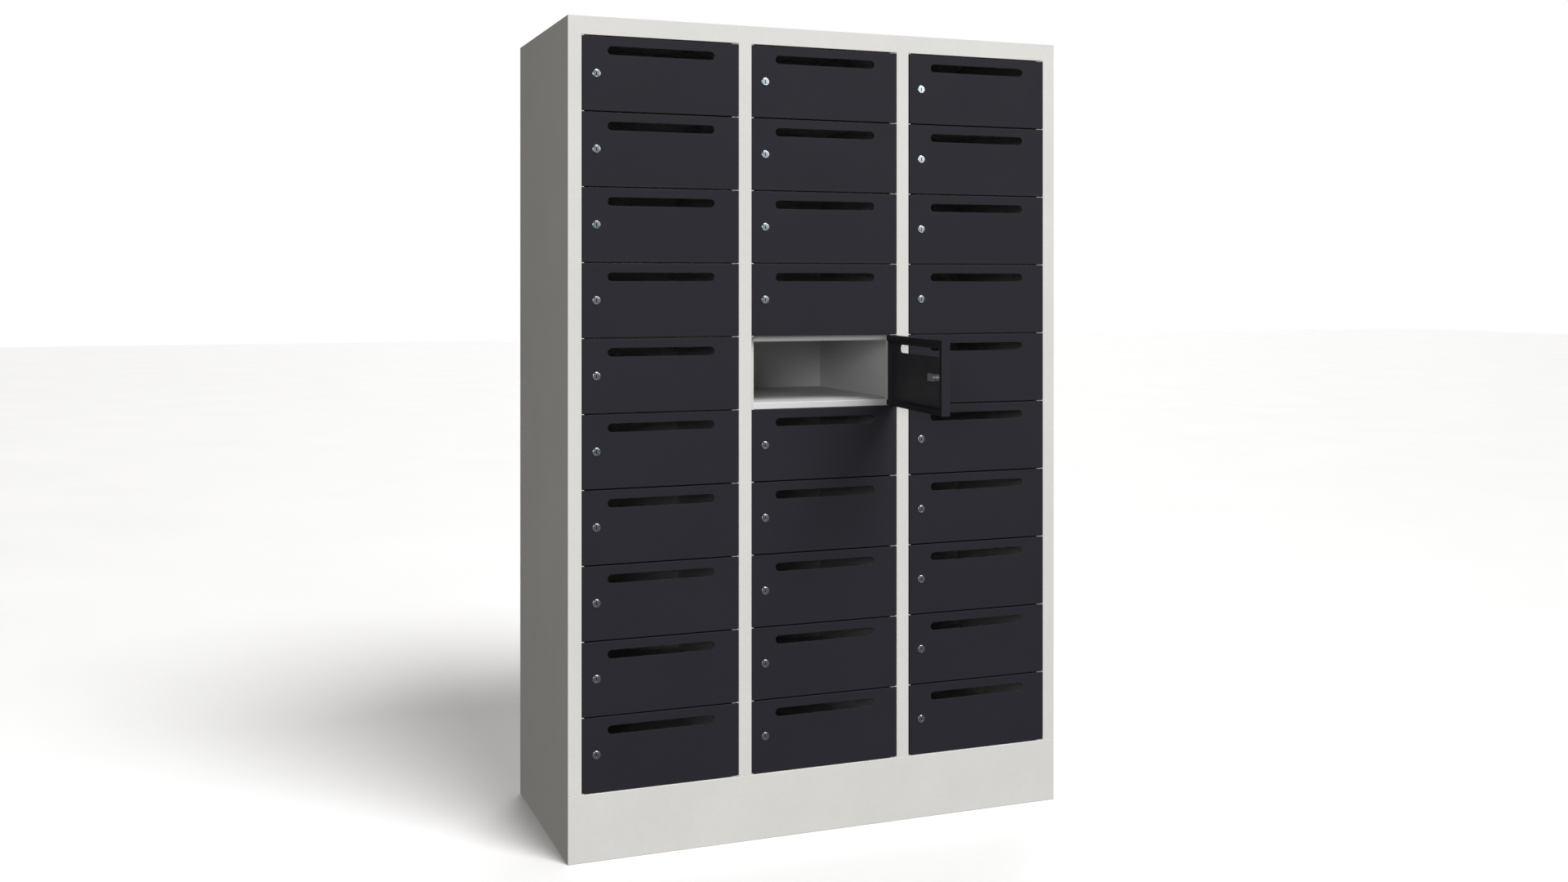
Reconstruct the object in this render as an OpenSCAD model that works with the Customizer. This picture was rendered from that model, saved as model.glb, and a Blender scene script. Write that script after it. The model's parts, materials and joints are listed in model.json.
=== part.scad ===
// Parcel locker: a steel cabinet on a plinth, divided into columns of compartments.
// Each compartment has its own hinged door with a letter slot and a cam lock.
// Millimetres. +Z is up, the doors face -Y, and the origin is on the floor under the cabinet's centre.

/* [Cabinet] */
// Overall width
cab_w = 1180; // [1060:10:1300]
// Overall depth
cab_d = 500; // [400:10:600]
// Overall height
cab_h = 1800; // [1750:10:1950]
// Height of the plinth
plinth_h = 145; // [120:5:170]
// Height of the rail over the top doors
top_rail_h = 40; // [34:1:60]
// Width of each upright of the front frame
stile_w = 30; // [28:1:40]
// Thickness of the steel sheet
sheet = 0.8; // [0.7:0.1:1.2]

/* [Doors] */
// Pan depth of a door
door_t = 20; // [18:1:22]
// Space between a door and its neighbour or rail
row_gap = 2.5; // [2.2:0.1:3]
// Space between a door and the uprights
side_gap = 2; // [2:0.1:3]
// Width of the lip folded round a door's back edge
lip_w = 12; // [8:1:14]
// How far the ajar door stands open
open_angle = 85; // [0:1:110]

/* [Letter slot] */
// Length of the slot
slot_l = 240; // [200:5:260]
// Height of the slot
slot_h = 18; // [12:1:22]
// Sheet left above the slot
slot_drop = 20; // [16:1:30]

/* [Lock] */
// Distance of the lock from the door's free edge
lock_inset = 30; // [28:1:31]
// Radius of the lock's head
head_r = 9.25; // [9:0.25:10]
// Radius of the lock's barrel
barrel_r = 8; // [7.5:0.1:8.2]
// Radius of the plug that the key turns
plug_r = 6; // [5:0.1:6.2]
// Reach of the cam from the lock's axis
cam_reach = 37; // [35:1:38]

/* [Hidden] */
$fn = 48;
cols = 3;
rows = 10;
ajar_col = 1;
ajar_row = 5;
column_names = ["left", "middle", "right"];

// Grid
col_pitch = (cab_w - stile_w) / cols;
door_zone = cab_h - top_rail_h - plinth_h;
row_pitch = (door_zone - row_gap) / rows;
door_w = col_pitch - stile_w - 2 * side_gap;
door_h = row_pitch - row_gap;
front = -cab_d / 2;
top = cab_h - sheet;

// Depth planes, from the front
stop_gap = 1;
stop_depth = door_t + stop_gap;
stop_front = front + stop_depth;
shelf_front = stop_front + sheet;
back_inset = 1.5;
back_out = cab_d / 2 - back_inset;
back_in = back_out - sheet;
flange_in = back_in - sheet;

// Folds
stop_w = 12;
hinge_stop_w = 18;
lip_h = 25;
flange_h = 12;
rear_flange_w = 15;
foot_w = 25;
seam = 0.3;
rear_plinth_h = 100;

// Hinge
pin_r = 2;
pin_play = 0.08;
pin_reach = 6;
pivot_in = 8;
pivot_back = 5;
lug_t = 1.5;
lug_reach = 6;
lug_front = 1;
lug_back = 11;
hinge_flange = 12;
hinge_notch = 14;

// Lock
head_t = 2;
seat_play = 0.05;
barrel_play = 0.2;
cam_gap = 1.5;
cam_t = 2;
cam_half_w = 8;
cam_front = stop_depth + sheet + cam_gap;
plug_play = 0.1;
nut_af = 21;
nut_t = 3.5;
keyway_w = 1.6;
keyway_h = 7;
keyway_depth = 8;
screw_r = 2;
screw_head_r = 4;
screw_head_t = 2.4;
screw_l = 8;
screw_spare = 1;
nut_sides = 6;

// Back fixing
wall_hole_r = 4.5;
wall_hole_x = 500;
wall_hole_drop = 100;
rivet_r = 3.4;
rivet_top_r = 2.4;
rivet_t = 1.2;
rivets = 9;
rivet_low = 20;
rivet_high = 40;
rivet_pitch = (cab_h - rear_plinth_h - rivet_low - rivet_high) / (rivets - 1);

// Stop buffers
buffer_r = 2.4;
buffer_play = 0.2;
buffer_edge = 0.1;
buffer_inset = 20;

// Stretcher under the base
stretcher_w = 60;
stretcher_h = 60;

// How far a cutting shape runs past the surface it cuts
over = 1;

stile_x = [for (i = [0:cols]) -cab_w / 2 + i * col_pitch];
wall_x = [for (i = [0:cols])
    i == 0 ? -cab_w / 2 + sheet / 2 : i == cols ? cab_w / 2 - sheet / 2 : stile_x[i] + stile_w / 2];

function two_digits(n) = n < 10 ? str("0", n) : str(n);
function door_name(c, r) = str("door_", column_names[c], "_", two_digits(r));
function rotor_name(r) = str("lock_rotor_", column_names[ajar_col], "_", two_digits(r));
function is_ajar(c, r) = c == ajar_col && r == ajar_row;

// Height of the middle of the space under the door of row i counted up from the plinth
function gap_z(i) = plinth_h + row_gap / 2 + i * row_pitch;
function door_z(r) = gap_z(rows - r) + row_gap / 2;
function door_x(c) = stile_x[c] + stile_w + side_gap;
function pivot_x(c) = door_x(c) + door_w - pivot_in;
function floor_z(i) = gap_z(i) + lip_h / 2;

// A box between two corners
module plate(low, high) {
    translate(low) cube(high - low);
}

// A cylinder along Y from y0 to y1
module rod_y(r, y0, y1) {
    translate([0, y0, 0]) rotate([-90, 0, 0]) cylinder(r = r, h = y1 - y0);
}

// ---- Carcass ----

module side_panel() {
    x = -cab_w / 2;
    color("lightgray") union() {
        plate([x, front + sheet, 0], [x + sheet, cab_d / 2, top]);
        plate([x, flange_in, rear_plinth_h], [x + rear_flange_w, back_in, top]);
    }
}

module top_panel() {
    x = cab_w / 2;
    color("lightgray") union() {
        plate([-x, front + sheet, top], [x, cab_d / 2, cab_h]);
        for (side = [0, 1]) mirror([side, 0, 0])
            plate([-x + sheet, shelf_front, top - flange_h], [-x + 2 * sheet, flange_in, cab_h]);
    }
}

module back_panel() {
    x = cab_w / 2 - sheet;
    color("gainsboro") difference() {
        plate([-x, back_in, rear_plinth_h], [x, back_out, top]);
        for (side = [-1, 1])
            translate([side * wall_hole_x, 0, cab_h - wall_hole_drop])
                rod_y(wall_hole_r, back_in - over, back_out + over);
    }
}

module base_panel() {
    x = cab_w / 2 - sheet;
    z = floor_z(0);
    color("gainsboro") union() {
        plate([-x, shelf_front, z - sheet], [x, flange_in, z]);
        plate([-x, shelf_front, z - lip_h], [x, shelf_front + sheet, z]);
        plate([-x, flange_in - sheet, z - flange_h], [x, flange_in, z]);
    }
}

module partition(i) {
    color("gainsboro")
        plate([wall_x[i] - sheet / 2, front + 2 * sheet, floor_z(0)],
              [wall_x[i] + sheet / 2, back_in, top - sheet]);
}

// One shelf: a sheet with a deep front lip and shallow flanges on its other edges
module shelf(c, i) {
    x0 = wall_x[c] + sheet / 2;
    x1 = wall_x[c + 1] - sheet / 2;
    z = floor_z(i);
    union() {
        plate([x0, shelf_front, z - sheet], [x1, flange_in, z]);
        plate([x0, shelf_front, z - lip_h], [x1, shelf_front + sheet, z]);
        plate([x0, flange_in - sheet, z - flange_h], [x1, flange_in, z]);
        plate([x0, shelf_front, z - flange_h], [x0 + sheet, flange_in, z]);
        plate([x1 - sheet, shelf_front, z - flange_h], [x1, flange_in, z]);
    }
}

module shelves(c) {
    color("gainsboro") for (i = [1:rows - 1]) shelf(c, i);
}

// ---- Front frame ----

// A face at each upright, with a jamb and a door stop on each side that faces a door
module stile(i) {
    z0 = plinth_h;
    z1 = top - sheet;
    for (side = [0, 1]) {
        faces_door = side == 0 ? i > 0 : i < cols;
        x = stile_x[i] + (side == 0 ? 0 : stile_w - sheet);
        inset = faces_door ? 0 : side == 0 ? sheet : -sheet;
        plate([x + inset, front, z0], [x + inset + sheet, shelf_front, z1]);
        if (faces_door) {
            stop_x0 = side == 0 ? x - hinge_stop_w : x;
            stop_x1 = side == 0 ? x + sheet : x + sheet + stop_w;
            plate([stop_x0, stop_front, z0 + lip_h / 2 + row_gap],
                  [stop_x1, shelf_front, cab_h - top_rail_h]);
        }
    }
}

module front_frame() {
    x = cab_w / 2;
    z = cab_h - top_rail_h;
    color("whitesmoke") union() {
        plate([-x, front, z], [x, front + sheet, cab_h]);
        plate([-x + sheet, front, top - sheet], [x - sheet, shelf_front, top]);
        for (i = [0:cols]) {
            plate([stile_x[i], front, plinth_h], [stile_x[i] + stile_w, front + sheet, cab_h]);
            stile(i);
        }
        for (c = [0:cols - 1]) {
            x0 = stile_x[c] + stile_w - sheet;
            x1 = stile_x[c + 1] + sheet;
            plate([x0, front, z], [x1, shelf_front, z + sheet]);
            plate([x0, stop_front, gap_z(rows) - lip_h / 2], [x1, shelf_front, z + sheet]);
        }
    }
}

// ---- Plinth ----

module plinth_front() {
    x = cab_w / 2;
    z = plinth_h - seam;
    color("whitesmoke") union() {
        plate([-x, front, 0], [x, front + sheet, z]);
        plate([-x + sheet, front, 0], [x - sheet, front + foot_w, sheet]);
        plate([-x + sheet, front, z - sheet], [x - sheet, shelf_front, z]);
        for (c = [0:cols - 1])
            plate([stile_x[c] + stile_w, stop_front, z - sheet],
                  [stile_x[c + 1], shelf_front, floor_z(0) - sheet]);
    }
}

module plinth_rear() {
    x = cab_w / 2 - sheet;
    z = rear_plinth_h - seam;
    color("gainsboro") union() {
        plate([-x, back_in, 0], [x, back_out, z]);
        plate([-x, back_in - foot_w, 0], [x, back_out, sheet]);
        plate([-x, back_in - rear_flange_w, z - sheet], [x, back_out, z]);
    }
}

module plinth_stretcher() {
    x = stretcher_w / 2;
    y0 = front + foot_w;
    y1 = back_in - foot_w;
    color("gainsboro") union() {
        plate([-x, y0, 0], [x, y1, sheet]);
        plate([-x, y0, 0], [-x + sheet, y1, stretcher_h]);
        plate([x - sheet, y0, 0], [x, y1, stretcher_h]);
    }
}

// ---- Hinges and small parts on the carcass ----

// A lug at each end of every space between doors: the right one carries the hinge pin
module hinge_lugs() {
    color("lightgray") for (c = [0:cols - 1]) for (i = [0:rows]) translate([0, 0, gap_z(i) - lug_t / 2]) {
        difference() {
            plate([pivot_x(c) - lug_reach, front + lug_front, 0],
                  [stile_x[c + 1], front + lug_back, lug_t]);
            translate([pivot_x(c), front + pivot_back, -over])
                cylinder(r = pin_r + pin_play / 2, h = lug_t + 2 * over);
        }
        plate([stile_x[c] + stile_w, front + lug_front, 0],
              [stile_x[c] + stile_w + lug_reach, front + lug_back, lug_t]);
    }
}

// The pin reaches up into the door above and down into the door below, where there is one
module hinge_pins() {
    color("silver") for (c = [0:cols - 1]) for (i = [0:rows]) {
        low = gap_z(i) - (i == 0 ? lug_t / 2 : pin_reach);
        high = gap_z(i) + (i == rows ? lug_t / 2 : pin_reach);
        translate([pivot_x(c), front + pivot_back, low]) cylinder(r = pin_r, h = high - low);
    }
}

// Two soft buffers on the stop behind each door's free edge, one near the top and one near the bottom
module door_buffers() {
    from_stile = stile_w + side_gap + buffer_r + buffer_edge;
    color("dimgray") for (c = [0:cols - 1]) for (r = [1:rows]) for (z = [buffer_inset, door_h - buffer_inset])
        translate([stile_x[c] + from_stile, 0, door_z(r) + z])
            rod_y(buffer_r, front + door_t + buffer_play, stop_front);
}

module back_rivets() {
    x = cab_w / 2 - rear_flange_w / 2;
    color("silver") for (side = [-1, 1]) for (k = [0:rivets - 1])
        translate([side * x, back_out, rear_plinth_h + rivet_low + k * rivet_pitch])
            rotate([-90, 0, 0]) cylinder(r1 = rivet_r, r2 = rivet_top_r, h = rivet_t);
}

// ---- Door, drawn with its lower front corner on the free side at the origin ----

module door_leaf() {
    slot_z = door_h - slot_drop - slot_h / 2;
    straight = (slot_l - slot_h) / 2;
    x_notch = door_w - hinge_notch;
    color("#2f2e34") difference() {
        union() {
            plate([0, 0, 0], [door_w, sheet, door_h]);
            plate([0, 0, 0], [sheet, door_t, door_h]);
            plate([0, door_t - sheet, 0], [lip_w, door_t, door_h]);
            plate([door_w - sheet, 0, 0], [door_w, hinge_flange, door_h]);
            for (z = [0, door_h - sheet]) {
                plate([0, 0, z], [x_notch, door_t, z + sheet]);
                plate([0, 0, z], [door_w, hinge_flange, z + sheet]);
            }
            for (z = [0, door_h - lip_w])
                plate([0, door_t - sheet, z], [x_notch, door_t, z + lip_w]);
        }
        // Letter slot
        translate([door_w / 2, 0, slot_z]) {
            for (side = [-1, 1]) translate([side * straight, 0, 0]) rod_y(slot_h / 2, -over, sheet + over);
            plate([-straight, -over, -slot_h / 2], [straight, sheet + over, slot_h / 2]);
        }
        // Lock hole and pin holes
        translate([lock_inset, 0, door_h / 2]) rod_y(barrel_r + barrel_play, -over, sheet + over);
        for (z = [-over, door_h - sheet - over])
            translate([door_w - pivot_in, pivot_back, z])
                cylinder(r = pin_r + pin_play, h = sheet + 2 * over);
    }
}

// ---- Cam lock, drawn on its axis with the door's front face at y = 0 ----

module lock_head_and_barrel() {
    rod_y(head_r, -head_t, -seat_play);
    rod_y(barrel_r, -head_t, cam_front - seat_play * 2);
}

module lock_body() {
    color("silver") difference() {
        lock_head_and_barrel();
        rod_y(plug_r + plug_play, -head_t - over, cam_front + over);
    }
}

module nut_blank() {
    translate([0, sheet + seat_play, 0]) rotate([-90, 0, 0])
        cylinder(r = nut_af / sqrt(3), h = nut_t, $fn = nut_sides);
}

module lock_nut() {
    color("silver") difference() {
        nut_blank();
        rod_y(barrel_r + barrel_play / 2, 0, sheet + nut_t + over);
    }
}

module keyway() {
    plate([-keyway_w / 2, -head_t - over, -keyway_h / 2],
          [keyway_w / 2, -head_t + keyway_depth, keyway_h / 2]);
}

module lock_plug() {
    color("silver") difference() {
        rod_y(plug_r, -head_t, cam_front - seat_play);
        keyway();
        rod_y(screw_r + plug_play, cam_front - screw_l, cam_front);
    }
}

module cam_blank(y0, y1) {
    rod_y(cam_half_w, y0, y1);
    plate([0, y0, -cam_half_w], [cam_reach, y1, cam_half_w]);
}

module lock_cam() {
    color("gray") difference() {
        cam_blank(cam_front, cam_front + cam_t);
        rod_y(screw_r + plug_play, cam_front - over, cam_front + cam_t + over);
    }
}

module cam_screw() {
    color("silver") union() {
        rod_y(screw_head_r, cam_front + cam_t + seat_play, cam_front + cam_t + screw_head_t);
        rod_y(screw_r, cam_front - screw_l + screw_spare, cam_front + cam_t + screw_head_t);
    }
}

// What the key turns: the plug, the cam and the screw that holds it on
module lock_rotor() {
    lock_plug();
    lock_cam();
    cam_screw();
}

// The housing with its nut screwed home, as one solid, for a lock whose rotor is a node of its own
module lock_housing() {
    color("silver") difference() {
        union() {
            lock_head_and_barrel();
            nut_blank();
        }
        rod_y(plug_r + plug_play, -head_t - over, cam_front + over);
    }
}

// A whole lock as one bought-in unit, unlocked
module lock_unit() {
    color("silver") difference() {
        union() {
            lock_head_and_barrel();
            nut_blank();
            cam_blank(cam_front - seat_play * 2, cam_front + cam_t);
            rod_y(screw_head_r, cam_front, cam_front + cam_t + screw_head_t);
        }
        keyway();
    }
}

// ---- Placing doors and locks ----

// Puts a door's own frame in its opening, turned on its pins if it stands ajar
module at_door(c, r) {
    translate([pivot_x(c), front + pivot_back, door_z(r)])
        rotate([0, 0, is_ajar(c, r) ? open_angle : 0])
            translate([pivot_in - door_w, -pivot_back, 0]) children();
}

module at_lock(c, r) {
    at_door(c, r) translate([lock_inset, 0, door_h / 2]) children();
}

module door(c, r) {
    at_door(c, r) door_leaf();
    if (c != ajar_col) at_lock(c, r) lock_unit();
    else if (!is_ajar(c, r)) at_lock(c, r) lock_housing();
}

side_panel();  // side_panel_left
mirror([1, 0, 0]) side_panel();  // side_panel_right
top_panel();
back_panel();
base_panel();
partition(1);  // partition_left
partition(2);  // partition_right
shelves(0);  // shelves_left
shelves(1);  // shelves_middle
shelves(2);  // shelves_right
front_frame();
plinth_front();
plinth_rear();
plinth_stretcher();
hinge_lugs();
hinge_pins();
door_buffers();
back_rivets();
at_lock(ajar_col, ajar_row) lock_body();  // lock_body_middle_05
at_lock(ajar_col, ajar_row) lock_nut();  // lock_nut_middle_05
for (c = [0:cols - 1]) for (r = [1:rows])
    door(c, r);
for (r = [1:rows])
    at_lock(ajar_col, r) lock_rotor();
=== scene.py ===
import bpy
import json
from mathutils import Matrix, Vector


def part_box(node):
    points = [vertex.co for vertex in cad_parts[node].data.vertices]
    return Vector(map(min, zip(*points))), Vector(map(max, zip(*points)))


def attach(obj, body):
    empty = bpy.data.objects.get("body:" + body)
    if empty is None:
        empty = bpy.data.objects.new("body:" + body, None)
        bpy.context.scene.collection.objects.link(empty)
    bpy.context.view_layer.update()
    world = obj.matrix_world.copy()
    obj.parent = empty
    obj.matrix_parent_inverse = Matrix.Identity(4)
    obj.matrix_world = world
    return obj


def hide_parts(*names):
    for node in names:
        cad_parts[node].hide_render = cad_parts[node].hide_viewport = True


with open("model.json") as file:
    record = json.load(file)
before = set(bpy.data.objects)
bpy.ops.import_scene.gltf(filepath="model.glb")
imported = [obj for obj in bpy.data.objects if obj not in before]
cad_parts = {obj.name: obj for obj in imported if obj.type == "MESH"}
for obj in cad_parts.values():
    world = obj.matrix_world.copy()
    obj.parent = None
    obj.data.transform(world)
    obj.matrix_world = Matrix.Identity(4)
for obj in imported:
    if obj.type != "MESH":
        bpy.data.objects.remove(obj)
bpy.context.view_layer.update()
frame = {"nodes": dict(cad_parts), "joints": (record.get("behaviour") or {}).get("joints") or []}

import json
import math

import bmesh
import bpy
from bpy.props import FloatProperty, FloatVectorProperty, PointerProperty
from bpy.types import Operator, Panel, PropertyGroup
from mathutils import Matrix, Vector

bl_info = {
    "name": "Parcel locker looks",
    "version": (1, 0, 0),
    "blender": (4, 5, 0),
    "location": "3D View > Sidebar > Locker",
    "description": "Builds the folded sheet, doors and cam locks of a steel parcel locker",
    "category": "Object",
}

# ---- What the frame says ----

MM = 0.001
COLUMNS = ("left", "middle", "right")
ROWS = range(1, 11)
LOW, HIGH = 0, 1

joints = {joint["name"]: joint for joint in frame["joints"]}


def span(node, axis):
    """Lowest and highest value of a node along one axis, in millimetres."""
    low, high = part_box(node)
    return low[axis] / MM, high[axis] / MM


FRONT = span("front_frame", 1)[LOW]
LEFT, RIGHT = span("front_frame", 0)
TOP = span("top_panel", 2)[HIGH]
BACK = span("side_panel_left", 1)[HIGH]
SHEET = span("back_panel", 1)[HIGH] - span("back_panel", 1)[LOW]
STILE_FOOT = span("front_frame", 2)[LOW]
SHELF_FRONT = span("front_frame", 1)[HIGH]
STOP_DEPTH = SHELF_FRONT - FRONT - SHEET

DOOR_W = span("door_left_01", 0)[HIGH] - span("door_left_01", 0)[LOW]
DOOR_H = span("door_left_01", 2)[HIGH] - span("door_left_01", 2)[LOW]
PIVOT_IN = span("door_left_01", 0)[HIGH] - joints["hinge_left_01"]["pos_m"][0] / MM
PIVOT_BACK = joints["hinge_left_01"]["pos_m"][1] / MM - FRONT
SIDE_GAP = span("hinge_lugs", 0)[HIGH] - span("door_right_01", 0)[HIGH]
STILE_W = span("door_left_01", 0)[LOW] - SIDE_GAP - LEFT
LOCK_IN = joints["cam_turn_middle_01"]["pos_m"][0] / MM - span("door_middle_01", 0)[LOW]
HEAD_T = FRONT - span("door_left_01", 1)[LOW]
BUFFER_GAP = 0.2
DOOR_T = span("door_buffers", 1)[LOW] - FRONT - BUFFER_GAP
CAM_REACH = span("lock_rotor_middle_01", 0)[HIGH] - joints["cam_turn_middle_01"]["pos_m"][0] / MM
SCREW_END = span("lock_rotor_middle_01", 1)[HIGH] - FRONT
HEAD_R = (span("lock_body_middle_05", 2)[HIGH] - span("lock_body_middle_05", 2)[LOW]) / 2
NUT_AF = span("lock_nut_middle_05", 2)[HIGH] - span("lock_nut_middle_05", 2)[LOW]

# Sizes that no node's box gives: the door pan
HINGE_FLANGE = 12.0
HINGE_NOTCH = 14.0
DOOR_LIP = 12.0
SLOT_L = 240.0
SLOT_H = 18.0
SLOT_DROP = 20.0

# the cam lock
BARREL_R = 8.0
BARREL_PLAY = 0.2
PLUG_R = 6.0
PLUG_PLAY = 0.1
SEAT = 0.05
THREAD_PITCH = 1.0
THREAD_DEPTH = 0.45
NUT_T = 3.5
KEYWAY = (1.6, 7.0, 8.0)
CAM_FRONT = STOP_DEPTH + SHEET + 1.5
CAM_T = 2.0
CAM_HALF_W = 8.0

# the carcass and its shelves
STOP_W = 12.0
HINGE_STOP_W = 18.0
STOP_PLAY = 0.2
SEAM = 0.3
INNER_BEND = 1.4
SHELF_LIP = 25.0
SHELF_FLANGE = 12.0
LIP_RETURN = 6.0
CORNER_RELIEF = 4.0
REAR_FLANGE = 16.0

# the hinges, buffers and rivets
LUG_T = 1.5
LUG_REACH = 6.0
LUG_ROOT = 3.0
LUG_STEP = 1.2
PIN_R = 2.0
PIN_PLAY = 0.04
PIN_REACH = 6.0
BUFFER_R = 2.4
RIVET_R = 3.4
RIVETS = 9


def door_x(column):
    """Left edge of a column's doors."""
    return span("door_%s_01" % column, 0)[LOW]


def door_z(column, row):
    """Bottom edge of a door."""
    return span("door_%s_%02d" % (column, row), 2)[LOW]


def gap_heights():
    """Middle of the spaces above, between and under the doors of a column, from the bottom up."""
    edges = sorted(door_z("left", row) for row in ROWS)
    gap = edges[1] - edges[0] - DOOR_H
    return [z - gap / 2 for z in edges] + [edges[-1] + DOOR_H + gap / 2]


def door_place(column, row):
    """The door's own frame: the free lower front corner, turned with the door if it stands ajar."""
    joint = joints["hinge_%s_%02d" % (column, row)]
    ajar = -math.radians(min(0.0, joint["range_deg"][0]))
    pivot = Vector(joint["pos_m"])
    pivot.z = door_z(column, row) * MM
    back_to_corner = Matrix.Translation(Vector((PIVOT_IN - DOOR_W, -PIVOT_BACK, 0)) * MM)
    return Matrix.Translation(pivot) @ Matrix.Rotation(ajar, 4, "Z") @ back_to_corner


def lock_place(column, row):
    """The lock's axis where it meets the door's front face."""
    return door_place(column, row) @ Matrix.Translation(Vector((LOCK_IN, 0, DOOR_H / 2)) * MM)


# ---- Views of a piece: u to the right, v up and w away from whoever looks at it ----


def facing(right, up, origin=(0, 0, 0)):
    right, up = Vector(right), Vector(up)
    away = -right.cross(up)
    made = Matrix((right, up, away)).transposed().to_4x4()
    made.translation = Vector(origin)
    return made


FROM_FRONT = facing((1, 0, 0), (0, 0, 1))
FROM_LEFT = facing((0, -1, 0), (0, 0, 1))
FROM_RIGHT = facing((0, 1, 0), (0, 0, 1))


class Sheetwork:
    """The faces of one piece, drawn in millimetres in one view at a time."""

    def __init__(self, view=FROM_FRONT):
        self.bm = bmesh.new()
        self.view = view
        self.finish = 0

    def ring(self, points, depths):
        if not hasattr(depths, "__len__"):
            depths = [depths] * len(points)
        return [self.bm.verts.new((self.view @ Vector((*p, w))) * MM) for p, w in zip(points, depths)]

    def face(self, corners):
        made = self.bm.faces.new(corners)
        made.material_index = self.finish
        return made

    def wall(self, near, far, edges=None, hole=False):
        """Joins two rings. Its outside faces away from the ring's middle, or into it round a hole."""
        count = len(near)
        for i in range(count):
            j = (i + 1) % count
            if edges is None or edges[i]:
                corners = (near[i], far[i], far[j], near[j])
                self.face(corners[::-1] if hole else corners)

    def lid(self, ring, holes=(), back=False):
        """Closes a ring towards the viewer, or away from it, leaving the holes open."""
        if not holes:
            return self.face(ring[::-1] if back else ring)
        edges = []
        for loop in (ring, *holes):
            for i, corner in enumerate(loop):
                following = loop[(i + 1) % len(loop)]
                edges.append(self.bm.edges.get((corner, following)) or self.bm.edges.new((corner, following)))
        made = bmesh.ops.triangle_fill(self.bm, use_beauty=True, edges=edges)["geom"]
        towards = (self.view.to_3x3() @ Vector((0, 0, 1 if back else -1))).normalized()
        for face in made:
            if isinstance(face, bmesh.types.BMFace):
                face.material_index = self.finish
                face.normal_update()
                if face.normal.dot(towards) < 0:
                    face.normal_flip()

    def turned(self, profile, segments=40, centre=(0, 0), closed=True):
        """A turned form about w: (radius, depth) from the front's middle outwards and back."""
        rings = []
        for radius, depth in profile:
            rings.append(self.ring(circle(radius, segments, centre), depth))
        for near, far in zip(rings, rings[1:]):
            self.wall(near, far)
        if closed:
            self.lid(rings[0])
            self.lid(rings[-1], back=True)
        return rings

    def plate(self, outline, near, far, edge=0.2, holes=()):
        """A solid plate with eased edges: holes go straight through."""
        steps = [(edge, near), (edge * 0.3, near + edge * 0.3), (0, near + edge)]
        steps += [(0, far - edge), (edge * 0.3, far - edge * 0.3), (edge, far)]
        rings = [self.ring(inset(outline, value), depth) for value, depth in steps]
        for first, second in zip(rings, rings[1:]):
            self.wall(first, second)
        mouths = []
        for hole in holes:
            ends = [self.ring(hole, near), self.ring(hole, far)]
            self.wall(ends[0], ends[1], hole=True)
            mouths.append(ends)
        self.lid(rings[0], [ends[0] for ends in mouths])
        self.lid(rings[-1], [ends[1] for ends in mouths], back=True)

    def folded(self, outline, bends, depths, lips=None, radius=1.5, lip_radius=1.2, holes=(), steps=4):
        """The outer skin of a folded sheet: a face, edges bent away, and lips at the ends of the bends.

        bends says which edges are bent, depths how far back each corner's flange goes, and lips how wide
        each edge's lip is, below zero where it turns outwards.
        """
        count = len(outline)
        lips = lips or [0] * count
        has_lip = [abs(lip) > 0 for lip in lips]
        rows = []
        for k in range(steps + 1):
            turn = math.pi / 2 * k / steps
            away = radius * (1 - math.sin(turn))
            back = [radius * (1 - math.cos(turn))] * count
            rows.append(([away if bent else 0 for bent in bends], back, bends))
        drop = [lip_radius if has_lip[i] or has_lip[i - 1] else 0 for i in range(count)]
        rows.append(([0] * count, [depth - less for depth, less in zip(depths, drop)], bends))
        if any(has_lip):
            for k in range(1, steps + 1):
                turn = math.pi / 2 * k / steps
                away = lip_radius * (1 - math.cos(turn))
                insets = [math.copysign(away, lip) if lip else 0 for lip in lips]
                back = [d - less + less * math.sin(turn) for d, less in zip(depths, drop)]
                rows.append((insets, back, has_lip))
            rows.append((lips, depths, has_lip))
        rings = [self.ring(inset(outline, insets), back) for insets, back, _ in rows]
        for near, far, row in zip(rings, rings[1:], rows[1:]):
            self.wall(near, far, row[2])
        self.lid(rings[0], holes)
        loose = [v for v in self.bm.verts if not v.link_faces]
        bmesh.ops.delete(self.bm, geom=loose, context="VERTS")


def circle(radius, segments, centre=(0, 0)):
    turns = [math.tau * i / segments for i in range(segments)]
    return [(centre[0] + radius * math.cos(t), centre[1] + radius * math.sin(t)) for t in turns]


def stadium(length, height, centre=(0, 0), segments=12):
    """A slot's outline with fully rounded ends."""
    radius, straight = height / 2, (length - height) / 2
    points = []
    for side, start in ((1, -90), (-1, 90)):
        for i in range(segments + 1):
            turn = math.radians(start + 180 * i / segments)
            across = side * straight + radius * math.cos(turn)
            points.append((centre[0] + across, centre[1] + radius * math.sin(turn)))
    return points


def rounded(corners, radii, segments=5):
    """An outline with each corner rounded to its own radius."""
    points = []
    count = len(corners)
    for i, (corner, radius) in enumerate(zip(corners, radii)):
        here = Vector(corner)
        before = (Vector(corners[i - 1]) - here).normalized()
        after = (Vector(corners[(i + 1) % count]) - here).normalized()
        if radius <= 0:
            points.append(tuple(here))
            continue
        half = before.angle(after) / 2
        middle = here + (before + after).normalized() * radius / math.sin(half)
        start = here + before * radius / math.tan(half) - middle
        turn = before.angle_signed(after)
        sweep = math.pi - abs(turn)
        for k in range(segments + 1):
            angle = sweep * k / segments * (1 if turn > 0 else -1)
            c, s = math.cos(angle), math.sin(angle)
            points.append((middle.x + start.x * c - start.y * s, middle.y + start.x * s + start.y * c))
    return points


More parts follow.
